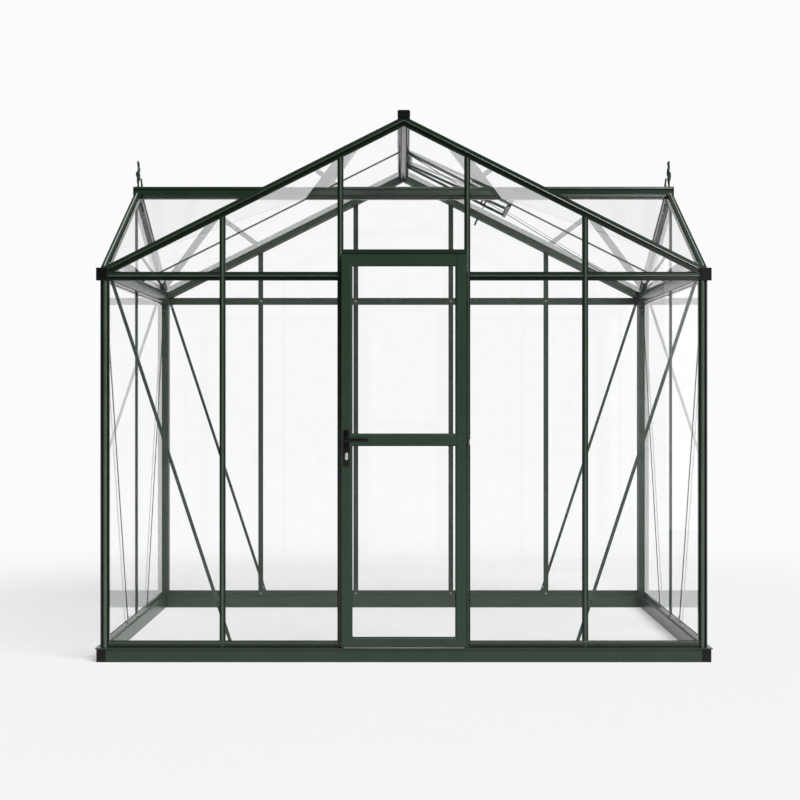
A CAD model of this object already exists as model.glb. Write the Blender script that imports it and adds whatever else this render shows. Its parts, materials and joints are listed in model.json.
import json
import math

import bmesh
import bpy
import numpy as np
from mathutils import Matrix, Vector


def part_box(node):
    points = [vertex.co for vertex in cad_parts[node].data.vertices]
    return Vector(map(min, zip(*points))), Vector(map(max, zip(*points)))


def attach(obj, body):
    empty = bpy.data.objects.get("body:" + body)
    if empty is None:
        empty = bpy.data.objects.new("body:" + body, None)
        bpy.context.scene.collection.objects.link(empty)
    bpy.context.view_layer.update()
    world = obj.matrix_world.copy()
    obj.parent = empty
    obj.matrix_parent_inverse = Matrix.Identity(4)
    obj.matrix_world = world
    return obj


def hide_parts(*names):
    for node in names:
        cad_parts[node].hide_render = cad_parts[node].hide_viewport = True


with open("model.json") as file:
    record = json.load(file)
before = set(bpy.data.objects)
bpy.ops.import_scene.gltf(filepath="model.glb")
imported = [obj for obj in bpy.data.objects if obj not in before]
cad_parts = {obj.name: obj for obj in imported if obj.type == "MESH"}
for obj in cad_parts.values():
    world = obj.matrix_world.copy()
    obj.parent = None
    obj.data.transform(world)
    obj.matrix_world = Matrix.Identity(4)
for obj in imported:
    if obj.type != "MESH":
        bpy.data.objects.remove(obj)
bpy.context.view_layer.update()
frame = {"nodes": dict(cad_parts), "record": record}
nodes = frame["nodes"]

# where the camera stands: level, square to the door side, a little left of the middle
houseView = {"distance": 7.35, "height": 1.383, "side": -0.0135, "lens": 63.05,
             "shiftX": -0.0016, "shiftY": -0.0025}


def boxOf(node):
    low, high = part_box(node)
    return np.array(low), np.array(high)


def newObject(name, data):
    thing = bpy.data.objects.new(name, data)
    bpy.context.scene.collection.objects.link(thing)
    return thing


def makeCamera(look):
    data = bpy.data.cameras.new("houseCamera")
    data.lens = look["lens"]
    data.shift_x = look["shiftX"]
    data.shift_y = look["shiftY"]
    camera = newObject("houseCamera", data)
    camera.location = (look["side"], boxOf("corner_posts")[0][1] - look["distance"], look["height"])
    camera.rotation_euler = (math.radians(90), 0, 0)
    return camera


bpy.context.scene.camera = makeCamera(houseView)
bpy.context.scene.view_settings.view_transform = "Standard"
print("camera in place")

# The house's own planes and heights, read from its posts, rakes and rails; both roofs pass a little
# over the top of the eave beams. Of the bars only those right of the middle are listed.
(postLow, postHigh), (rakeLow, rakeHigh) = boxOf("corner_posts"), boxOf("front_rakes")
(gableLow, gableHigh), sillHigh = boxOf("side_rakes"), boxOf("sill_front")[1]
house = {"front": postLow[1], "back": postHigh[1], "side": postHigh[0],
         "midY": (postLow[1] + postHigh[1]) / 2, "foot": postLow[2], "sillTop": sillHigh[2],
         "eave": postHigh[2], "railTop": rakeLow[2], "beamTop": gableLow[2], "post": 0.043,
         "ridge": rakeHigh[2], "crossRidge": gableHigh[2], "roofHalf": rakeHigh[0],
         "overBeam": 0.017, "crossOverBeam": 0.006, "backBays": 5,
         "doorBar": 0.333, "barNose": 0.020, "barDepth": 0.015, "rake": 0.044}
house["halfDepth"] = house["back"] - house["midY"]
house["slope"] = (house["ridge"] - house["beamTop"] - house["overBeam"]) / house["roofHalf"]
house["crossSlope"] = (house["crossRidge"] - house["beamTop"] - house["crossOverBeam"]) / house["halfDepth"]
house["frontBars"] = [house["doorBar"], (house["side"] - house["post"] / 2 + house["doorBar"]) / 2]
house["backBars"] = [k * (2 * house["side"] - house["post"]) / house["backBays"] for k in (0.5, 1.5)]


# a "#rrggbb" finish colour as Blender's linear numbers
def linearColour(hexCode):
    srgb = [int(hexCode[i:i + 2], 16) / 255 for i in (1, 3, 5)]
    return tuple(c / 12.92 if c <= 0.04045 else ((c + 0.055) / 1.055) ** 2.4 for c in srgb) + (1.0,)


# adds one shader node: its own settings, values for its sockets, and links into its sockets from
# sockets of other nodes, or from the first one where a whole node is given
def addNode(tree, kind, settings=(), values=(), links=()):
    node = tree.nodes.new("ShaderNode" + kind)
    for key, value in dict(settings).items():
        setattr(node, key, value)
    for key, value in dict(values).items():
        node.inputs[key].default_value = value
    for key, source in dict(links).items():
        whole = isinstance(source, bpy.types.Node)
        tree.links.new(source.outputs[0] if whole else source, node.inputs[key])
    return node


def newMaterial(name):
    material = bpy.data.materials.new(name)
    material.use_nodes = True
    material.node_tree.nodes.clear()
    return material, material.node_tree


# a colour ramp's stops as (place, colour) pairs
def setStops(ramp, stops):
    elements = ramp.color_ramp.elements
    while len(elements) < len(stops):
        elements.new(0.5)
    for element, (place, colour) in zip(elements, stops):
        element.position = place
        element.color = linearColour(colour)


# One opaque finish: a broad noise moves its tone and gloss, a fine one gives its relief. Noises are
# (scale, detail), and gloss says how far the roughness goes below and above its middle.
def newFinish(name, colours, roughness, look, stretch=(1.0, 1.0, 1.0)):
    material, tree = newMaterial(name)
    place = addNode(tree, "TexCoord").outputs["Object"]
    along = addNode(tree, "Mapping", values={"Scale": stretch}, links={"Vector": place})
    broad, fine = [addNode(tree, "TexNoise", values={"Scale": scale, "Detail": detail},
                           links={"Vector": along})
                   for scale, detail in (look["broad"], look["fine"])]
    tone = addNode(tree, "ValToRGB", links={"Fac": broad})
    setStops(tone, list(zip(look["stops"], colours)))
    bump = addNode(tree, "Bump", values={"Strength": look["relief"], "Distance": look["depth"]},
                   links={"Height": fine})
    gloss = addNode(tree, "MapRange", links={"Value": broad},
                    values={"To Min": roughness - look["gloss"][0], "To Max": roughness + look["gloss"][1]})
    shader = addNode(tree, "BsdfPrincipled", values=look["shader"],
                     links={"Base Color": tone, "Roughness": gloss, "Normal": bump})
    addNode(tree, "OutputMaterial", links={"Surface": shader})
    return material


# Polyester powder coat on extruded aluminium: sprayed dry and baked, so it has an even gloss,
# tone that drifts a little along each length, and an orange peel about 3 mm across.
def powderCoat(name, colours, roughness):
    return newFinish(name, colours, roughness, {
        "broad": (9.0, 4.0), "fine": (330.0, 1.0), "stops": (0.3, 0.7), "relief": 0.2, "depth": 0.0001,
        "gloss": (0.03, 0.05), "shader": {"Metallic": 0.0, "IOR": 1.48}})


# Moulded and extruded plastics: black polypropylene caps, EPDM rubber seals, grey PVC edge strip,
# and the dull black coat of the handles. The tool leaves a fine grain of about 1 mm, drawn at 2 mm
# so that it shows; rubber is duller than plastic.
def mouldedPlastic(name, colours, roughness, ior=1.49, grain=500.0):
    return newFinish(name, colours, roughness, {
        "broad": (25.0, 3.0), "fine": (grain, 2.0), "stops": (0.25, 0.75), "relief": 0.25, "depth": 0.0002,
        "gloss": (0.05, 0.06), "shader": {"IOR": ior, "Specular IOR Level": 0.28}})


# Bright metal fittings: satin nickel on brass, and cold-headed stainless screws. Fine scratches
# stretched along the height come from the brushing; they blur the mirror one way.
def brushedMetal(name, colours, roughness, stretch):
    return newFinish(name, colours, roughness, {
        "broad": (300.0, 2.0), "fine": (300.0, 2.0), "stops": (0.3, 0.7), "relief": 0.12, "depth": 0.0001,
        "gloss": (0.06, 0.06), "shader": {"Metallic": 1.0}}, stretch)


# Toughened float glass, 4 mm: clear, its faces a little wavy from the rollers of the furnace
# every 250 mm or so, with a breath of dust. Lamps reach through it to what stands behind, and its
# index is set low for glass, which keeps its mirror images as faint as on clean thin panes.
def toughenedGlass(name):
    material, tree = newMaterial(name)
    place = addNode(tree, "TexCoord").outputs["Object"]
    wave = addNode(tree, "TexNoise", values={"Scale": 4.0, "Detail": 1.0}, links={"Vector": place})
    bump = addNode(tree, "Bump", values={"Strength": 0.02, "Distance": 0.0001}, links={"Height": wave})
    dust = addNode(tree, "TexNoise", values={"Scale": 14.0, "Detail": 5.0}, links={"Vector": place})
    tone = addNode(tree, "ValToRGB", links={"Fac": dust})
    setStops(tone, [(0.3, "#fdfefd"), (0.7, "#ffffff")])
    shader = addNode(tree, "BsdfPrincipled",
                     values={"Roughness": 0.0, "IOR": 1.26, "Transmission Weight": 1.0},
                     links={"Base Color": tone, "Normal": bump})
    through = addNode(tree, "BsdfTransparent", values={"Color": (0.995, 0.997, 0.996, 1)})
    path = addNode(tree, "LightPath")
    dull = addNode(tree, "Math", {"operation": "GREATER_THAN"}, {1: 0.5},
                   {0: path.outputs["Diffuse Depth"]})  # light that has left a dull surface
    past = addNode(tree, "Math", {"operation": "MAXIMUM"},
                   links={0: path.outputs["Is Shadow Ray"], 1: dull})
    either = addNode(tree, "MixShader", links={0: past, 1: shader, 2: through})
    addNode(tree, "OutputMaterial", links={"Surface": either})
    return material


finishes = {
    "frame_green": powderCoat("powderCoatedAluminium", ("#1f3424", "#25392a"), 0.2),
    "base_green": powderCoat("powderCoatedBase", ("#26392a", "#2b3f2f"), 0.28),
    "black_plastic": mouldedPlastic("mouldedPolypropylene", ("#070707", "#0d0c0c"), 0.34),
    "handle_black": mouldedPlastic("coatedHandleZinc", ("#080708", "#0f0d0e"), 0.3),
    "clear_glass": toughenedGlass("toughenedGlass"),
}
leafGreen = powderCoat("powderCoatedLeaf", ("#243a29", "#293e2d"), 0.32)
noseGreen = powderCoat("powderCoatedNoses", ("#48584a", "#516153"), 0.16)
sillGreen = powderCoat("powderCoatedSills", ("#42503f", "#495747"), 0.22)
edgePvc = mouldedPlastic("extrudedGreyPvc", ("#8f9691", "#a1a7a2"), 0.3)
rubber = mouldedPlastic("epdmRubber", ("#030403", "#070807"), 0.55, 1.4, 900.0)
nickel = brushedMetal("satinNickel", ("#cfc8c6", "#e8e2e0"), 0.38, (1.0, 1.0, 0.08))
steel = brushedMetal("stainlessScrews", ("#85878a", "#a6a8aa"), 0.32, (1.0, 1.0, 1.0))

for part in frame["record"]["subparts"]:
    mesh = nodes[part["node"]].data
    onLeaf = part["node"] in ("door_stiles", "door_rails")
    mesh.materials.clear()
    mesh.materials.append(leafGreen if onLeaf else finishes[part["material_slot"]])
print("finishes on", len(nodes), "nodes")


# faces of a grid of rows by columns; the columns close round, and the rows do if asked
def gridFaces(rows, columns, ringed=False):
    row = np.arange(rows if ringed else rows - 1)[:, None] * columns
    column = np.arange(columns)[None, :]
    beside = (column + 1) % columns
    above = (row + columns) % (rows * columns)
    return np.stack([row + column, row + beside, above + beside, above + column], -1).reshape(-1, 4)


# turns a closed shell's faces outwards: its volume, summed over fans of triangles, is positive
def facingOut(points, blocks):
    volume = 0.0
    for block in blocks:
        corner = points[block]
        volume += np.einsum("fj,ftj->", corner[:, 0], np.cross(corner[:, 1:-1], corner[:, 2:]))
    return points, [block[:, ::-1] for block in blocks] if volume < 0 else blocks


# points from their three coordinates, each given for every ring and corner or only for some
def inSpace(x, y, z):
    return np.stack(np.broadcast_arrays(x, y, z), -1)


# rings of points (ring, corner, xyz) joined into one closed shell with a flat face at each end
def lofted(rings, closed=False):
    count, corners = rings.shape[:2]
    blocks = [gridFaces(count, corners, closed)]
    if not closed:
        blocks += [np.arange(corners)[None, ::-1], np.arange(corners)[None] + (count - 1) * corners]
    return facingOut(rings.reshape(-1, 3), blocks)


# An outline (u across, v outwards) carried along a line: ring i = corner i + u times the mitre
# there + v outwards, where the mitre is square to the run and longer by 1 / cos(half the turn).
def carried(outline, line, outwards, closed=False):
    line, outwards = np.array(line, float), np.array(outwards, float)
    runs = np.roll(line, -1, 0) - line
    runs /= np.linalg.norm(runs, axis=1, keepdims=True)
    before = np.roll(runs, 1, 0)
    if not closed:
        runs[-1], before[0] = runs[-2], runs[0]
    mitre = np.cross(runs, outwards) + np.cross(before, outwards)
    mitre *= 2 / (mitre ** 2).sum(1, keepdims=True)
    rings = line[:, None] + outline[None, :, :1] * mitre[:, None] + outline[None, :, 1:] * outwards
    return lofted(rings, closed)


# A profile (radius, height) turned about the upright axis: (r cos a, r sin a, h)
def turned(profile, sides=24):
    profile = np.array(profile, float)
    angle = np.arange(sides) * 2 * math.pi / sides
    circle = np.stack([np.cos(angle), np.sin(angle), np.zeros(sides)], 1)
    return lofted(profile[:, None, :1] * circle + profile[:, None, 1:] * np.array([0.0, 0.0, 1.0]))


# copies of a small shell: each point becomes place + x across + y along + z outwards
def stamped(shell, places, outwards, along=(0, 0, 1)):
    points, blocks = shell
    places, outwards, along = np.array(places, float), np.array(outwards, float), np.array(along, float)
    axes = np.stack([np.cross(along, outwards), along, outwards])
    copies = places[:, None] + (points @ axes)[None]
    shift = np.arange(len(places))[:, None, None] * len(points)
    return copies.reshape(-1, 3), [(block[None] + shift).reshape(-1, block.shape[1]) for block in blocks]


# a rounded rectangle's corners in order, half sizes a and b: arcs of radius r, a few steps each
def roundedOutline(a, b, r, steps=5):
    turn = np.linspace(0, math.pi / 2, steps)
    arcs = [np.stack([sx * (a - r) + r * np.cos(turn + start), sy * (b - r) + r * np.sin(turn + start)], 1)
            for sx, sy, start in ((1, 1, 0), (-1, 1, math.pi / 2), (-1, -1, math.pi), (1, -1, -math.pi / 2))]
    return np.concatenate(arcs)


# the section of a crowned bead: half an ellipse, sunk a little into what carries it
def beadOutline(width, height, sunk=0.001, steps=12):
    turn = np.linspace(0, math.pi, steps)
    crown = np.stack([width / 2 * np.cos(turn), height * np.sin(turn)], 1)
    return np.concatenate([crown, [[-width / 2, -sunk], [width / 2, -sunk]]])


# one object from many closed shells, riding on a body, and in place of the CAD nodes it stands for
def makePiece(name, shells, material, body="house", stands=()):
    points, faces, start = [], [], 0
    for shellPoints, blocks in shells:
        points.append(shellPoints)
        for block in blocks:
            faces.extend((block + start).tolist())
        start += len(shellPoints)
    mesh = bpy.data.meshes.new(name)
    mesh.from_pydata(np.concatenate(points).tolist(), [], faces)
    mesh.materials.append(material)
    mesh.shade_smooth()
    mesh.set_sharp_from_angle(angle=math.radians(35))
    piece = newObject(name, mesh)
    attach(piece, body)
    if stands:
        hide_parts(*stands)


# a merged copy of a CAD node in its own finish, with its sharp edges rounded off, standing in its place
def roundedCopy(name, node, radius, body="house"):
    mesh = nodes[node].data.copy()
    mesh.name = name
    shape = bmesh.new()
    shape.from_mesh(mesh)
    bmesh.ops.remove_doubles(shape, verts=shape.verts, dist=0.00001)  # 0.01 mm
    bmesh.ops.dissolve_limit(shape, angle_limit=math.radians(1), verts=shape.verts, edges=shape.edges)
    shape.to_mesh(mesh)
    shape.free()
    piece = newObject(name, mesh)
    bevel = piece.modifiers.new("roundedEdges", "BEVEL")
    bevel.width = radius
    bevel.segments = 3
    bevel.limit_method = "ANGLE"
    bevel.angle_limit = math.radians(30)
    mesh.shade_smooth()
    mesh.set_sharp_from_angle(angle=math.radians(50))
    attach(piece, body)
    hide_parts(node)


# stretches of a line between its ends, left clear beside each upright bar
def stretches(start, end, bars, clear):
    edges = [start] + [edge for bar in sorted(bars) for edge in (bar - clear, bar + clear)] + [end]
    return list(zip(edges[::2], edges[1::2]))


# height of the main roof at a distance from its ridge, or of what runs so far below it, square to
# the slope; and the same for the cross roof
def mainRoof(away, below=0.0):
    return house["ridge"] - away * house["slope"] - below * math.hypot(1, house["slope"])


def crossRoof(away, below=0.0):
    return house["crossRidge"] - away * house["crossSlope"] - below * math.hypot(1, house["crossSlope"])


# an outline carried straight up from foot to top
def upright(outline, x, y, foot, top, outwards):
    return carried(outline, [(x, y, foot), (x, y, top)], outwards)


green, handleBlack = finishes["frame_green"], finishes["handle_black"]
nose = house["barNose"] / 2
postIn = house["side"] - house["post"]
walls = [(house["front"], -1.0), (house["back"], 1.0)]
# each gable's wall and way out, its bars on the right but for the door's, and where its panes start
gables = [(house["front"], -1.0, house["frontBars"][1:], house["doorBar"] + nose),
          (house["back"], 1.0, house["backBars"], 0.0)]

# Crowned noses of the extrusions: the light catches them as fine lines along every length
postNose = {"width": 0.019, "crown": 0.0045, "in": 0.026}
outline = beadOutline(postNose["width"], postNose["crown"])
shells = []
for sx in (-1, 1):
    for wall, out in walls:
        inX, inY = sx * (house["side"] - postNose["in"]), wall - out * postNose["in"]
        for x, y, way in ((inX, wall, (0, out, 0)), (sx * house["side"], inY, (sx, 0, 0))):
            shells.append(upright(outline, x, y, house["foot"], house["eave"], way))
makePiece("postNoses", shells, noseGreen)

# a slender bead down the middle of every upright glazing bar, up to a little below its rake
barBead = {"width": 0.0085, "crown": 0.0022, "belowRake": 0.004, "belowSideRake": 0.010}
outline = beadOutline(barBead["width"], barBead["crown"])
clear = house["rake"] + barBead["belowRake"]
shells = []
for wall, out, bars, start in gables:
    for bar in bars:
        for side in (-1, 1):
            top = mainRoof(bar, clear)
            shells.append(upright(outline, side * bar, wall, house["sillTop"], top, (0, out, 0)))
top = mainRoof(house["doorBar"], clear)
for side in (-1, 1):
    shells.append(upright(outline, side * house["doorBar"], house["front"], house["railTop"], top,
                          (0, -1, 0)))
top = crossRoof(0, house["rake"] + barBead["belowSideRake"])
for sx in (-1, 1):
    shells.append(upright(outline, sx * house["side"], house["midY"], house["sillTop"], top, (sx, 0, 0)))
makePiece("barNoses", shells, noseGreen)

# sloping weather edge along the sills: it throws the rain off and lies open to the light
sillEdge = {"below": 0.0098, "section": [(0.0095, -0.001), (0.0095, 0.0048), (0.0085, 0.0054),
                                         (-0.0085, 0.0008), (-0.0085, -0.001)]}
sillMid = house["sillTop"] - sillEdge["below"]
shells = []
for wall, out, bars, start in gables:
    for side in (-1, 1):
        ends = [(side * start, wall, sillMid), (side * postIn, wall, sillMid)]
        shells.append(carried(np.array(sillEdge["section"]), ends if side * out > 0 else ends[::-1],
                              (0, out, 0)))
makePiece("sillEdges", shells, sillGreen)

# black glazing rubber pressed into the grooves of each post, on both outer faces
postGrooves = [{"in": 0.0115, "wide": 0.0088, "sunk": 0.0054, "rise": 0.0022},
               {"in": 0.0396, "wide": 0.0066, "sunk": 0.0039, "rise": 0.0020}]
grooveTop = np.array([(-0.5, 0), (-0.5, 0.7), (-0.2, 1), (0.2, 1), (0.5, 0.7), (0.5, 0)])
shells = []
for sx in (-1, 1):
    for wall, out in walls:
        for groove in postGrooves:
            inX, inY = sx * (house["side"] - groove["in"]), wall - out * groove["in"]
            sunkX, sunkY = sx * (house["side"] - groove["sunk"]), wall - out * groove["sunk"]
            for x, y, way in ((inX, sunkY, (0, out, 0)), (sunkX, inY, (sx, 0, 0))):
                shells.append(upright(grooveTop * [groove["wide"], groove["rise"]], x, y, house["foot"],
                                      house["eave"], way))
makePiece("postGrooveSeals", shells, rubber)

# ribs of the rakes: their face leans back by about 28 degrees, which is what turns it to the light
rakeRib = {"width": 0.0040, "proud": 0.0022, "depth": 0.0205, "end": 0.006, "overBeam": 0.030}
ribHalf = rakeRib["width"] / 2
ribOutline = np.array([(ribHalf, -0.001), (ribHalf, rakeRib["proud"] - 0.0005),
                       (ribHalf - 0.0006, rakeRib["proud"]), (-ribHalf, 0.0002), (-ribHalf, -0.001)])


# places (away, height) of a line below a roof: from one foot over the ridge to the other
def gableLine(roof, depth, end):
    return [(away, roof(abs(away), depth)) for away in (-end, 0, end)]


shells = []
line = gableLine(mainRoof, rakeRib["depth"], postIn - rakeRib["end"])
for wall, out in walls:
    shells.append(carried(ribOutline, [(-out * x, wall, z) for x, z in line], (0, out, 0)))
endY = (house["crossRidge"] - house["beamTop"] - rakeRib["overBeam"]) / house["crossSlope"]
line = gableLine(crossRoof, rakeRib["depth"], endY)
for sx in (-1, 1):
    places = [(sx * house["side"], house["midY"] + sx * y, z) for y, z in line]
    shells.append(carried(ribOutline, places, (sx, 0, 0)))
makePiece("rakeRibs", shells, sillGreen)

# Ribs on top of the side rakes, where the cross roof's edge is clipped down, and the black seal
# between rake and pane on every roof edge. Lengths from and to are away from the ridge.
roofEdge = {"rib": 0.007, "crown": 0.0035, "in": 0.0185, "ribFrom": 0.034, "ribEnd": 0.012,
            "seal": 0.0045, "sealHigh": 0.0052, "sealFrom": 0.036, "sealTo": 0.905, "sink": 0.0057,
            "rakeDeep": 0.040, "mainFrom": 0.034, "mainEnd": 0.002, "mainSink": 0.0056}
sealTop = np.array([(-0.5, -0.0003), (-0.5, 0.8), (-0.3, 1), (0.3, 1), (0.5, 0.8), (0.5, -0.0003)])
sealOutline = sealTop * [roofEdge["seal"], roofEdge["sealHigh"]]
ribs, seals = [], []
ribTop = beadOutline(roofEdge["rib"], roofEdge["crown"])
for sx in (-1, 1):
    ribX = sx * (house["side"] - roofEdge["in"])
    sealX = sx * (house["roofHalf"] - roofEdge["seal"] / 2)
    for sy in (-1, 1):
        up = np.array([0, sy * house["crossSlope"], 1]) / math.hypot(1, house["crossSlope"])
        line = [(ribX, house["midY"] + sy * y, crossRoof(y))
                for y in (roofEdge["ribFrom"], house["halfDepth"] - roofEdge["ribEnd"])]
        ribs.append(carried(ribTop, line, up))
        line = [(sealX, house["midY"] + sy * y, crossRoof(y) - roofEdge["sink"])
                for y in (roofEdge["sealFrom"], roofEdge["sealTo"])]
        seals.append(carried(sealOutline, line, up))
for wall, out in walls:
    sealY = wall - out * (roofEdge["rakeDeep"] + roofEdge["seal"] / 2)
    for sx in (-1, 1):
        up = np.array([sx * house["slope"], 0, 1]) / math.hypot(1, house["slope"])
        line = [(sx * x, sealY, mainRoof(x) - roofEdge["mainSink"])
                for x in (roofEdge["mainFrom"], house["roofHalf"] - roofEdge["mainEnd"])]
        seals.append(carried(sealOutline, line, up))
makePiece("sideRakeRibs", ribs, edgePvc)
makePiece("roofEdgeSeals", seals, rubber)

# black strips along both edges of each eave beam's inner face
beamStrip = {"high": 0.0042, "proud": 0.0026}
shells = []
for sx in (-1, 1):
    for z in (house["eave"] + beamStrip["high"] / 2, house["beamTop"] - beamStrip["high"] / 2):
        ends = [(sx * postIn, wall - out * house["post"], z) for wall, out in walls]
        shells.append(carried(sealTop * [beamStrip["high"], beamStrip["proud"]], ends, (-sx, 0, 0)))
makePiece("beamEdgeStrips", shells, rubber)

# Ridges. The cross ridge is one extrusion: leaning lit edge, black line of shadow, side, and below
# the panes a web. Half sections are given outwards from the middle, heights from the ridge's top.
mainLow, mainHigh = boxOf("main_ridge")
crossLow, crossHigh = boxOf("cross_ridge")
crossRidge = {"crest": [(0.0255, 0), (0.0262, -0.0004), (0.0318, -0.0112), (0.0320, -0.0126),
                        (0.0235, -0.0128), (0.0235, -0.0200), (0.0290, -0.0202), (0.0300, -0.0490)],
              "web": [(0.0130, -0.0480), (0.0130, -0.0740)],
              "strip": [(0.0285, -0.0124), (0.0285, -0.0205)], "stripIn": 0.001}


# a section, given as its half, run along the cross ridge between two ends
def alongCrossRidge(half, x0, x1):
    half = np.array(half)
    outline = np.concatenate([half, half[::-1] * [-1, 1]])
    return lofted(inSpace([[x0], [x1]], house["midY"] + outline[:, 0], crossHigh[2] + outline[:, 1]))


makePiece("crossRidgeBar", [alongCrossRidge(crossRidge["crest"], crossLow[0], crossHigh[0]),
                            alongCrossRidge(crossRidge["web"], -house["roofHalf"], house["roofHalf"])],
          green, stands=("cross_ridge",))
strip = alongCrossRidge(crossRidge["strip"], crossLow[0] + crossRidge["stripIn"],
                        crossHigh[0] - crossRidge["stripIn"])
makePiece("crossRidgeStrip", [strip], rubber)

# round rolls along both top edges of the main ridge
crest = {"radius": 0.006, "in": 0.0045}
roll = roundedOutline(crest["radius"], crest["radius"], crest["radius"], 6)
shells = []
for side in (-1, 1):
    x, z = side * (mainHigh[0] - crest["in"]), mainHigh[2] - crest["radius"]
    shells.append(carried(roll, [(x, mainLow[1], z), (x, mainHigh[1], z)], (0, 0, 1)))
makePiece("mainCrestRolls", shells, green)

# a bead along the rails across both gables
eaveBead = {"width": 0.006, "crown": 0.0024, "below": 0.0185}
z = house["railTop"] - eaveBead["below"]
shells = []
for wall, out, bars, start in gables:
    for x0, x1 in stretches(start, postIn, bars, nose):
        for side in (-1, 1):
            shells.append(carried(beadOutline(eaveBead["width"], eaveBead["crown"]),
                                  [(side * x0, wall, z), (side * x1, wall, z)], (0, out, 0)))
makePiece("eaveRailBeads", shells, noseGreen)
print("noses and beads of the extrusions done")

# EPDM glazing seals: a lip 3.6 mm wide all round each pane, against the frame outside it
sealLip = np.array([(0, -0.0003), (0, 0.0032), (0.0012, 0.0034), (0.0028, 0.0022), (0.0036, 0.0005),
                    (0.0036, -0.0003)])


# a seal round a pane whose corners are given; run clockwise seen from outside, so that u is inwards
def sealRound(corners, outwards, outline=sealLip):
    corners, outwards = np.array(corners, float), np.array(outwards, float)
    area = np.cross(corners, np.roll(corners, -1, 0)).sum(0)
    if area @ outwards > 0:
        corners = corners[::-1]
    return carried(outline, corners, outwards, closed=True)


# corners (along, height) of a pane that ends under a gable: roof height = apex - slope * along
def gablePane(left, right, foot, apex, slope):
    reach = (apex - foot) / slope
    if left < 0:
        return [(left, foot), (right, foot), (right, apex - slope * right), (0, apex),
                (left, apex + slope * left)]
    if right >= reach:
        return [(left, foot), (reach, foot), (left, apex - slope * left)]
    return [(left, foot), (right, foot), (right, apex - slope * right), (left, apex - slope * left)]


def squarePane(left, right, foot, top):
    return [(left, foot), (right, foot), (right, top), (left, top)]


# the seal of a pane in a wall that faces along Y, mirrored where side is -1
def wallSeal(pane, face, out, side=1, outline=sealLip):
    return sealRound([(side * x, face, z) for x, z in pane], (0, out, 0), outline)


gableApex = mainRoof(0, house["rake"])
headLow, headHigh = boxOf("door_head")
shells = []
for face, (wall, out, bars, start) in zip((boxOf("glass_front")[0][1], boxOf("glass_back")[1][1]), gables):
    spans = stretches(start, postIn, bars, nose)
    beside = [span for span in spans if span[0] > 0]
    panes = [squarePane(*span, house["sillTop"], house["eave"]) for span in beside]
    panes += [gablePane(*span, house["railTop"], gableApex, house["slope"]) for span in beside]
    for side in (-1, 1):
        shells += [wallSeal(pane, face, out, side) for pane in panes]
    if out < 0:  # over the door
        middle = house["doorBar"] - nose
        centre = [gablePane(-middle, middle, headHigh[2], gableApex, house["slope"])]
    else:
        middle = spans[0][1]
        centre = [gablePane(-middle, middle, house["railTop"], gableApex, house["slope"]),
                  squarePane(-middle, middle, house["sillTop"], house["eave"])]
    shells += [wallSeal(pane, face, out) for pane in centre]
sideApex = crossRoof(0, house["rake"])
sideFace = boxOf("glass_sides")[1][0]
panes = [squarePane(nose, house["halfDepth"] - house["post"], house["sillTop"], house["eave"]),
         gablePane(nose, house["halfDepth"], house["beamTop"], sideApex, house["crossSlope"])]
for sx in (-1, 1):
    for side in (-1, 1):
        shells += [sealRound([(sx * sideFace, house["midY"] + side * y, z) for y, z in pane], (sx, 0, 0))
                   for pane in panes]
makePiece("glazingSeals", shells, rubber)

# the door's panes lie deeper, so their seals are taller, on both faces
doorSeal = {"taller": 1.7, "railBelow": 0.028, "railAbove": 0.031}
glassLow, glassHigh = boxOf("door_glass")
leverLow, leverHigh = boxOf("door_lever")
leverZ = (leverLow[2] + leverHigh[2]) / 2
panes = [squarePane(glassLow[0], glassHigh[0], glassLow[2], leverZ - doorSeal["railBelow"]),
         squarePane(glassLow[0], glassHigh[0], leverZ + doorSeal["railAbove"], glassHigh[2])]
shells = [wallSeal(pane, face, out, outline=sealLip * [1, doorSeal["taller"]])
          for face, out in ((glassLow[1], -1.0), (glassHigh[1], 1.0)) for pane in panes]
makePiece("doorPaneSeals", shells, rubber, "door")

# black bulb seals that the shut leaf comes up against: beside it on both jambs, and over its head
stop = {"wide": 0.0034, "proud": 0.0052, "beside": 0.0022, "headHigh": 0.0075, "headIn": 0.006,
        "headUp": 0.0006}
leafLow, leafHigh = boxOf("door_stiles")
shells = [upright(sealTop * [stop["wide"], stop["proud"]], side * (leafHigh[0] + stop["beside"]),
                  house["front"], leafLow[2], headLow[2], (0, -1, 0)) for side in (-1, 1)]
headX, headZ = headHigh[0] - stop["headIn"], headLow[2] + stop["headHigh"] / 2 + stop["headUp"]
shells.append(carried(sealTop * [stop["headHigh"], stop["proud"]],
                      [(-headX, house["front"], headZ), (headX, house["front"], headZ)], (0, -1, 0)))
makePiece("doorStopSeals", shells, rubber)

# brush seal behind the edge of the leaf: a backing strip with a thin fin of pile on it
brush = {"in": 0.005, "fin": 0.0052}
pile = np.array([(-0.0026, -0.0003), (-0.0026, 0.0012), (-0.0009, 0.0014), (-0.0006, brush["fin"]),
                 (0.0006, brush["fin"]), (0.0009, 0.0014), (0.0026, 0.0012), (0.0026, -0.0003)])
edge = squarePane(leafLow[0] + brush["in"], leafHigh[0] - brush["in"], leafLow[2] + brush["in"],
                  leafHigh[2] - brush["in"])
pileSeal = wallSeal(edge, leafHigh[1], 1.0, outline=pile)
makePiece("doorBrushSeal", [pileSeal], rubber, "door")
print("seals done")

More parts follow.
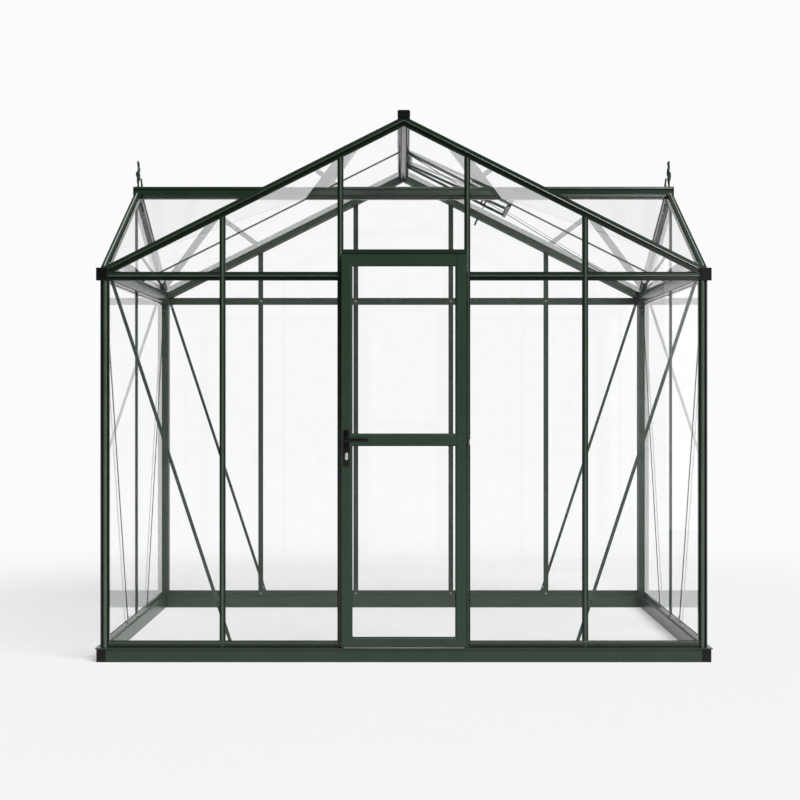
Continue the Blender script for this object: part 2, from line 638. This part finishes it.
# M6 stainless fixings as profiles (radius, height): washer, nut with chamfered crown, bolt end
# standing out of it, and the pan-head screw that holds the plinth
washerShell = turned([(0.0062, -0.0003), (0.0062, 0.0010), (0.0052, 0.0013)], 16)
nutShell = turned([(0.0056, 0.0010), (0.0056, 0.0048), (0.0047, 0.0057)], 6)
endShell = turned([(0.0030, 0.0050), (0.0030, 0.0080), (0.0024, 0.0086)], 10)
screwShell = turned([(0.0042, -0.0003), (0.0042, 0.0010), (0.0030, 0.0022), (0.0012, 0.0024),
                     (0.0010, 0.0012)], 14)


def nutsAt(places, outwards):
    return [stamped(shell, places, outwards) for shell in (washerShell, nutShell, endShell)]


# Flat braces run from near the eave in the corner down to the plinth; bolts at shares of their length.
# Bars are bolted at foot and head, and the plinth is screwed down along its inner edge.
brace = {"run": 0.640, "thick": 0.003, "bolts": (0.02, 0.98), "in": 0.008, "up": 0.018, "footUp": 0.022,
         "sideIn": 0.006, "sideDown": 0.006, "sideShorter": 0.018}
barBolt = {"overFoot": 0.0165, "overEave": 0.0195, "sideUnderEave": 0.014}
plinthScrew = {"in": 0.006, "sides": (-0.72, -0.28, -0.06, 0.06, 0.28, 0.72),
               "gables": (-1.25, -0.62, 0.62, 1.25)}


def braceBolts(head, foot):
    head, foot = np.array(head), np.array(foot)
    return [tuple(head + (foot - head) * share) for share in brace["bolts"]]


lowZ, highZ = house["foot"] + barBolt["overFoot"], house["eave"] + barBolt["overEave"]
shells = []
for (wall, out), bars in zip(walls, (house["frontBars"], house["backBars"])):
    inside = wall - out * house["barDepth"]
    crossing = inside - out * brace["thick"]
    ends = braceBolts((postIn - brace["in"], house["eave"] + brace["up"]),
                      (postIn - brace["run"], house["foot"] + brace["footUp"]))
    shells += nutsAt([(side * x, crossing, z) for x, z in ends for side in (-1, 1)], (0, -out, 0))
    shells += nutsAt([(side * bar, inside, z) for bar in bars for z in (lowZ, highZ) for side in (-1, 1)],
                     (0, -out, 0))
cornerY = house["halfDepth"] - house["post"]
for sx in (-1, 1):
    inside = sx * (house["side"] - house["barDepth"])
    ends = braceBolts((cornerY - brace["sideIn"], house["eave"] - brace["sideDown"]),
                      (cornerY - brace["run"] + brace["sideShorter"], house["foot"] + brace["footUp"]))
    shells += nutsAt([(inside - sx * brace["thick"], house["midY"] + side * y, z) for y, z in ends
                      for side in (-1, 1)], (-sx, 0, 0))
    shells += nutsAt([(inside, house["midY"], z) for z in (lowZ, house["eave"] - barBolt["sideUnderEave"])],
                     (-sx, 0, 0))
    shells.append(stamped(screwShell, [(inside - sx * plinthScrew["in"], house["midY"] + y, house["foot"])
                                       for y in plinthScrew["sides"]], (0, 0, 1), (1, 0, 0)))
for wall, out in walls:
    inside = wall - out * (house["barDepth"] + plinthScrew["in"])
    shells.append(stamped(screwShell, [(x, inside, house["foot"]) for x in plinthScrew["gables"]],
                          (0, 0, 1), (1, 0, 0)))
makePiece("frameFixings", shells, steel)
print("fixings done")

# Cast finials: a spire whose leaves wind round it, and a small baluster inboard of each.
# Radius at height h and angle a = r(h) (1 + wave cos(leaves a + twist h)), and plain in the foot.
finial = {"leaves": 3, "wave": 0.2, "balusterWave": 0.05, "twist": 110.0, "foot": 0.006, "in": 0.010,
          "inboard": 0.020}
spire = np.array([(0, 8.8, 0), (5, 8.4, 0), (11, 5.0, 1), (23, 5.8, 1), (35, 7.3, 0), (46, 9.0, 0),
                  (58, 10.5, 1), (71, 11.6, 1), (86, 11.4, 0), (96, 7.8, 3), (109, 7.8, 4), (120, 6.6, 2),
                  (133, 6.4, 3), (142, 7.2, 3), (150, 6.4, 0), (155, 4.0, -1), (157, 0.3, -1)]) / 1000
baluster = np.array([(0, 5.4, 0), (8, 5.5, 1), (13, 7.2, 3.5), (18, 5.6, 2), (25, 4.9, 0.5),
                     (38, 4.9, -0.5), (45, 6.2, -2), (51, 5.4, -3), (53, 0.3, -3)]) / 1000


# profile rows (height, radius, sway) in metres: the middle of each ring leans inboard by its sway
def castSpire(profile, wave, inboard, sides=36):
    height = np.linspace(0, profile[-1, 0], 90)
    radius, sway = (np.interp(height, profile[:, 0], profile[:, k])[:, None] for k in (1, 2))
    angle = np.arange(sides) * 2 * math.pi / sides
    leafy = 1 + wave * np.cos(finial["leaves"] * angle[None] + finial["twist"] * height[:, None])
    reach = radius * np.where(height[:, None] > finial["foot"], leafy, 1)
    return lofted(inSpace(inboard * sway + reach * np.cos(angle), reach * np.sin(angle), height[:, None]))


finialHigh = boxOf("finials")[1]
shells = []
for side in (-1, 1):
    spireX = side * (finialHigh[0] - finial["in"])
    for profile, wave, x in ((spire, finial["wave"], spireX),
                             (baluster, finial["balusterWave"], spireX - side * finial["inboard"])):
        shells.append(stamped(castSpire(profile, wave, -side), [(x, house["midY"], crossHigh[2])],
                              (0, 0, 1), (0, 1, 0)))
makePiece("castFinials", shells, green, stands=("finials",))

# moulded caps and hinge knuckles, with their edges rounded by the tool
rounding = {"ridgeCaps": 0.0025, "otherCaps": 0.002, "knuckles": 0.0008}
roundedCopy("ridgeEndCaps", "ridge_caps", rounding["ridgeCaps"])
roundedCopy("gutterEndCaps", "gutter_caps", rounding["otherCaps"])
roundedCopy("plinthCornerPieces", "plinth_corners", rounding["otherCaps"])
roundedCopy("upperKnuckles", "door_hinges", rounding["knuckles"], "door")
roundedCopy("lowerKnuckles", "jamb_hinges", rounding["knuckles"])
print("finials, caps and knuckles done")

# Roof vent. A black seal wraps the sash's foot rail: its outline is (up the slope, square to it) from
# the foot of the sash, whose slope is a little flatter than the roof's. Two more lie on the curb.
vent = {"open": 2.4, "sash": 0.018,
        "footSeal": [(-0.003, -0.0035), (0.0215, -0.0035), (0.0215, 0.0090), (0.0182, 0.0090),
                     (0.0182, 0.0004), (-0.0001, 0.0004), (-0.0001, 0.0130), (-0.003, 0.0130)]}
curb = {"x": 0.6325, "half": 0.0075, "deep": 0.0205, "seal": 0.0024, "short": 0.02}
sashLow, sashHigh = boxOf("vent_sash")
tilt = math.atan(house["slope"]) - math.radians(vent["open"])
up, off = np.array(vent["footSeal"]).T
sealX = sashHigh[0] - vent["sash"] * math.sin(tilt) - up * math.cos(tilt) + off * math.sin(tilt)
sealZ = sashLow[2] + up * math.sin(tilt) + off * math.cos(tilt)
shells = [lofted(inSpace(sealX, [[sashLow[1]], [sashHigh[1]]], sealZ))]
lean = math.atan(house["slope"])
innerX = curb["x"] - curb["half"]
innerZ = mainRoof(innerX) - curb["deep"] / 2
underZ = mainRoof(curb["x"]) - curb["deep"]
for x, z, way, wide in ((innerX, innerZ, (-1, 0, 0), curb["deep"]),
                        (curb["x"], underZ, (-math.sin(lean), 0, -math.cos(lean)),
                         2 * curb["half"] / math.cos(lean))):
    shells.append(carried(sealTop * [wide, curb["seal"]],
                          [(x, sashLow[1], z), (x, sashHigh[1] - curb["short"], z)], way))


# a flat bar in the plane y, between two places (x, z), its front edges broken by 0.6 mm
def flatBar(start, end, width, y, thick=0.003):
    half, broken = width / 2, 0.0006
    outline = np.array([(half, 0), (half, thick - broken), (half - broken, thick),
                        (broken - half, thick), (-half, thick - broken), (-half, 0)])
    return carried(outline, [(start[0], y, start[1]), (end[0], y, end[1])], (0, -1, 0))


# The perforated stay, laid along the slope: two thin bars with a rung between every two holes. The
# fork stands across it in two prongs with pads, and the peg for the vent pole is on the rear rake.
stay = {"from": (0.426, 2.639), "to": (0.558, 2.567), "y": 0.530, "aside": 0.0048, "bar": 0.0042,
        "first": 0.003, "hole": 0.018, "rungHalf": 0.003, "rung": 0.0070}
fork = {"prongs": (0.068, 0.090), "below": 0.004, "long": 0.052, "wide": 0.0115, "front": 0.003,
        "pad": (0.043, 0.050), "padWide": 0.030, "padFront": 0.002}
peg = {"from": (0.4985, 2.586), "to": (0.4700, 2.5240), "wide": 0.0120, "y": 0.972, "thick": 0.010}
stayFrom, stayTo = np.array(stay["from"]), np.array(stay["to"])
stayLong = np.linalg.norm(stayTo - stayFrom)
stayRun = (stayTo - stayFrom) / stayLong
across = np.array([-stayRun[1], stayRun[0]])
for side in (-1, 1):
    aside = side * stay["aside"] * across
    shells.append(flatBar(stayFrom + aside, stayTo + aside, stay["bar"], stay["y"]))
for step in np.arange(stay["first"], stayLong, stay["hole"]):
    middle = stayFrom + step * stayRun
    shells.append(flatBar(middle - stay["rungHalf"] * stayRun, middle + stay["rungHalf"] * stayRun,
                          stay["rung"], stay["y"]))
for place in fork["prongs"]:
    foot = stayFrom + place * stayRun - fork["below"] * across
    shells.append(flatBar(foot, foot + fork["long"] * across, fork["wide"], stay["y"] - fork["front"]))
    padFrom, padTo = (foot + length * across for length in fork["pad"])
    shells.append(flatBar(padFrom, padTo, fork["padWide"], stay["y"] - fork["padFront"]))
shells.append(flatBar(peg["from"], peg["to"], peg["wide"], peg["y"], peg["thick"]))
makePiece("ventStayAndFork", shells, finishes["black_plastic"], stands=("vent_stay",))

# black seals along both edges of the main ridge's underside
underSeal = {"wide": 0.0062, "proud": 0.0022, "aside": 0.0148, "end": 0.05}
shells = []
for side in (-1, 1):
    ends = [(side * underSeal["aside"], y, mainLow[2])
            for y in (mainLow[1] + underSeal["end"], mainHigh[1] - underSeal["end"])]
    shells.append(carried(sealTop * [underSeal["wide"], underSeal["proud"]], ends, (0, 0, -1)))
makePiece("ridgeUnderSeals", shells, rubber)
print("vent gear done")

# Lock plates with rounded faces, a rose round the spindle, two countersunk screws and the cylinder
# with its plug and keyway
lock = {"edge": 0.006, "soften": 0.0012, "rose": 0.0135, "screwIn": 0.013, "cylinderBelow": 0.084,
        "cylinder": (0.0077, 0.0198), "proud": 0.0022, "plugUp": 0.009, "plugProud": 0.001,
        "keyway": (0.0008, 0.0038, 0.0007)}
lockLow, lockHigh = boxOf("door_lock")
lockX, lockMidZ = (lockLow[0] + lockHigh[0]) / 2, (lockLow[2] + lockHigh[2]) / 2
halfW, halfH = (lockHigh[0] - lockLow[0]) / 2, (lockHigh[2] - lockLow[2]) / 2


# an outline raised by steps (inset, height): a plate with softened edges, in its own plane
def raisedPlate(a, b, r, steps):
    rings = []
    for inset, height in steps:
        outline = roundedOutline(a - inset, b - inset, max(r - inset, 0.0004))
        rings.append(np.column_stack([outline, np.full(len(outline), height)]))
    return lofted(np.array(rings))


# a shell standing on a face of the lock, above or below the middle of its plate
def onLock(shell, face, z, out):
    return stamped(shell, [(lockX, face, z)], (0, out, 0))


plateShells, cylinderShells, screwShells, keyShells = [], [], [], []
for face, out, stile in ((lockLow[1], -1.0, leafLow[1]), (lockHigh[1], 1.0, leafHigh[1])):
    thick = abs(face - stile)
    plate = raisedPlate(halfW, halfH, lock["edge"], [(0, -0.0004), (0, thick - lock["soften"]),
                                                     (lock["soften"] * 0.35, thick - lock["soften"] * 0.3),
                                                     (lock["soften"], thick)])
    plateShells.append(onLock(plate, stile, lockMidZ, out))
    rose = turned([(lock["rose"], -0.0003), (lock["rose"], 0.0018), (lock["rose"] - 0.0012, 0.0028),
                   (0.0098, 0.003), (0.0096, 0.0012)], 40)
    plateShells.append(onLock(rose, face, leverZ, out))
    cylinderZ = leverZ - lock["cylinderBelow"]
    barrel = raisedPlate(*lock["cylinder"], lock["cylinder"][0] * 0.999,
                         [(0, -0.0004), (0, lock["proud"] - 0.0008), (0.0003, lock["proud"] - 0.0003),
                          (0.001, lock["proud"])])
    cylinderShells.append(onLock(barrel, face, cylinderZ, out))
    plug = turned([(0.0064, -0.0003), (0.0064, 0.0006), (0.0058, lock["plugProud"])], 32)
    plugFace, plugZ = face + out * lock["proud"], cylinderZ + lock["plugUp"]
    cylinderShells.append(onLock(plug, plugFace, plugZ, out))
    keyway = raisedPlate(*lock["keyway"], [(0, -0.0002), (0, 0.0003), (0.0002, 0.0004)])
    keyShells.append(onLock(keyway, plugFace + out * lock["plugProud"], plugZ, out))
    screwShells.append(stamped(screwShell, [(lockX, face, lockMidZ + side * (halfH - lock["screwIn"]))
                                            for side in (-1, 1)], (0, out, 0)))

# the latch's striker on the front of the jamb, beside the leaf
catch = {"half": (0.0034, 0.0135), "corner": 0.0015, "aside": 0.0122, "below": 0.011}
catchPlate = raisedPlate(*catch["half"], catch["corner"],
                         [(0, -0.0004), (0, 0.0032), (0.0004, 0.0038), (0.0012, 0.0040)])
catchAt = (house["doorBar"] + catch["aside"], house["front"], leverZ - catch["below"])
makePiece("jambCatch", [stamped(catchPlate, [catchAt], (0, -1, 0))], nickel)
makePiece("lockPlates", plateShells, handleBlack, "door", stands=("door_lock",))
makePiece("lockCylinder", cylinderShells, nickel, "door")
makePiece("lockKeyways", keyShells, rubber, "door")
makePiece("lockScrews", screwShells, handleBlack, "door")

# Levers: a bar whose section is a rounded rectangle that grows slimmer towards its end, on a
# round neck; ring at share s of the length = outline scaled by taper(s), rounded off at both ends.
lever = {"taper": 0.03, "corner": 0.0028, "neck": 0.0088, "waist": 0.86, "thick": 0.0102}
share = np.array([0, 0.004, 0.014, 0.04, 0.3, 0.6, 0.96, 0.986, 0.996, 1.0])
endSoft = np.array([0.88, 0.96, 1, 1, 1, 1, 1, 1, 0.96, 0.88])
size = (1 - lever["taper"] * share)[:, None] * endSoft[:, None]
along = leverLow[0] + share * (leverHigh[0] - leverLow[0])
outline = roundedOutline(lever["thick"] / 2, (leverHigh[2] - leverLow[2]) / 2, lever["corner"])
waist = lever["neck"] * lever["waist"]
shells = []
for tip, out, face in ((leverLow[1], -1.0, lockLow[1]), (leverHigh[1], 1.0, lockHigh[1])):
    middle = tip - out * lever["thick"] / 2
    rings = inSpace(along[:, None], middle + size * outline[:, 0], leverZ + size * outline[:, 1])
    shells.append(lofted(rings))
    reach = abs(tip - face)
    neck = turned([(lever["neck"], -0.0036), (lever["neck"], 0.004), (waist, 0.009), (waist, reach - 0.012),
                   (lever["neck"], reach - 0.006)], 32)
    shells.append(onLock(neck, face, leverZ, out))
makePiece("leverHandles", shells, handleBlack, "lever", stands=("door_lever",))
print("lock and levers done")

# The studio: a pale floor that turns to the backdrop's white between near and fade, and soft lamps
# from the right. Dull surfaces see a darker floor, and mirrors see it fall dark behind the viewer.
studio = {"floorTone": "#f0f0f0", "floorSoak": "#5c5c5c", "floorGlow": "#f4f4f4", "shadowFill": 0.45,
          "floorHalf": 40, "floorDrop": 0.0005, "near": 3.0, "fade": 6.0, "darkFrom": -28.0,
          "lightFrom": -10.0, "far": "#fbfbfc", "sky": 0.12, "behindViewer": 0.06, "rear": (0.55, 0.92),
          "panel": 0.9, "panelReach": (0.34, 0.62), "sun": 3.7, "sunFrom": (0.413, -0.492, 0.766),
          "sunSize": 35.0, "softbox": 32.0, "softboxSize": (1.0, 4.5), "softboxAt": (3.2, -8.0, 1.9),
          "softboxAim": (0, 0, 1.4)}


# one where the eye sees this directly, in gloss or through glass; nought for light off dull surfaces
def seenDirectly(tree, mirrors=True):
    path = addNode(tree, "LightPath")
    straight = addNode(tree, "Math", {"operation": "MAXIMUM"},
                       links={0: path.outputs["Is Camera Ray"], 1: path.outputs["Is Transmission Ray"]})
    if mirrors:
        straight = addNode(tree, "Math", {"operation": "MAXIMUM"},
                           links={0: straight, 1: path.outputs["Is Glossy Ray"]})
    direct = addNode(tree, "Math", {"operation": "LESS_THAN"}, {1: 0.5},
                     {0: path.outputs["Diffuse Depth"]})
    return addNode(tree, "Math", {"operation": "MULTIPLY"}, links={0: straight, 1: direct})


def makeFloor(look):
    mesh = bpy.data.meshes.new("studioFloor")
    half, z = look["floorHalf"], -look["floorDrop"]
    corners = [(-half, -half, z), (half, -half, z), (half, half, z), (-half, half, z)]
    mesh.from_pydata(corners, [], [(0, 1, 2, 3)])
    floor = newObject("studioFloor", mesh)
    material, tree = newMaterial("paintedStudioFloor")
    place = addNode(tree, "TexCoord").outputs["Object"]
    reach = addNode(tree, "VectorMath", {"operation": "LENGTH"}, links={0: place})
    fade = addNode(tree, "MapRange", {"interpolation_type": "SMOOTHSTEP"},
                   {"From Min": look["near"], "From Max": look["fade"]}, {"Value": reach.outputs["Value"]})
    ahead = addNode(tree, "SeparateXYZ", links={0: place})
    lights = addNode(tree, "MapRange", {"interpolation_type": "SMOOTHSTEP"},
                     {"From Min": look["darkFrom"], "From Max": look["lightFrom"]},
                     {"Value": ahead.outputs["Y"]})
    inGloss = addNode(tree, "Math", {"operation": "MULTIPLY"}, links={0: seenDirectly(tree), 1: lights})
    seen = addNode(tree, "Math", {"operation": "MAXIMUM"},
                   links={0: seenDirectly(tree, mirrors=False), 1: inGloss})
    lit = addNode(tree, "BsdfDiffuse", values={"Color": linearColour(look["floorTone"])})
    soak = addNode(tree, "BsdfDiffuse", values={"Color": linearColour(look["floorSoak"])})
    glow = addNode(tree, "Emission", values={"Color": linearColour(look["floorGlow"])})
    shade = addNode(tree, "MixShader", values={0: look["shadowFill"]}, links={1: lit, 2: glow})
    near = addNode(tree, "MixShader", links={0: seen, 1: soak, 2: shade})
    far = addNode(tree, "Emission", values={"Color": linearColour(look["far"])})
    away = addNode(tree, "Math", {"operation": "MULTIPLY"}, links={0: fade, 1: seen})
    both = addNode(tree, "MixShader", links={0: away, 1: near, 2: far})
    addNode(tree, "OutputMaterial", links={"Surface": both})
    mesh.materials.append(material)


# the backdrop: white to the eye, bright behind the house and on a panel at its right in mirrors,
# and a faint sky for all else
def makeWorld(look):
    world = bpy.data.worlds.new("studioWorld")
    bpy.context.scene.world = world
    world.use_nodes = True
    tree = world.node_tree
    tree.nodes.clear()
    white = seenDirectly(tree, mirrors=False)
    either = seenDirectly(tree)
    way = addNode(tree, "SeparateXYZ", links={0: addNode(tree, "TexCoord").outputs["Generated"]})
    rear = addNode(tree, "MapRange", {"interpolation_type": "SMOOTHSTEP"},
                   {"From Min": look["rear"][0], "From Max": look["rear"][1],
                    "To Min": look["behindViewer"], "To Max": 1.0}, {"Value": way.outputs["Y"]})
    ambient = addNode(tree, "Background", values={"Color": (1, 1, 1, 1), "Strength": look["sky"]})
    right = addNode(tree, "MapRange", {"interpolation_type": "SMOOTHSTEP"},
                    {"From Min": look["panelReach"][0], "From Max": look["panelReach"][1],
                     "To Max": look["panel"]}, {"Value": way.outputs["X"]})
    bright = addNode(tree, "Math", {"operation": "MAXIMUM"}, links={0: rear, 1: right})
    mirrored = addNode(tree, "Background", values={"Color": linearColour(look["far"])},
                       links={"Strength": bright})
    shown = addNode(tree, "Background", values={"Color": linearColour(look["far"]), "Strength": 1.0})
    glossy = addNode(tree, "MixShader", links={0: either, 1: ambient, 2: mirrored})
    final = addNode(tree, "MixShader", links={0: white, 1: glossy, 2: shown})
    addNode(tree, "OutputWorld", links={"Surface": final})


def placeLamp(name, data, at, aim):
    lamp = newObject(name, data)
    lamp.location = at
    lamp.rotation_euler = (Vector(aim) - Vector(at)).to_track_quat("-Z", "Y").to_euler()


makeFloor(studio)
makeWorld(studio)
sun = bpy.data.lights.new("overheadLight", "SUN")
sun.energy = studio["sun"]
sun.angle = math.radians(studio["sunSize"])
placeLamp("overheadLight", sun, Vector(studio["sunFrom"]) * 10, (0, 0, 0))
softbox = bpy.data.lights.new("tallSoftbox", "AREA")
softbox.shape = "RECTANGLE"
softbox.size, softbox.size_y = studio["softboxSize"]
softbox.energy = studio["softbox"]
placeLamp("tallSoftbox", softbox, studio["softboxAt"], studio["softboxAim"])
print("studio lit")
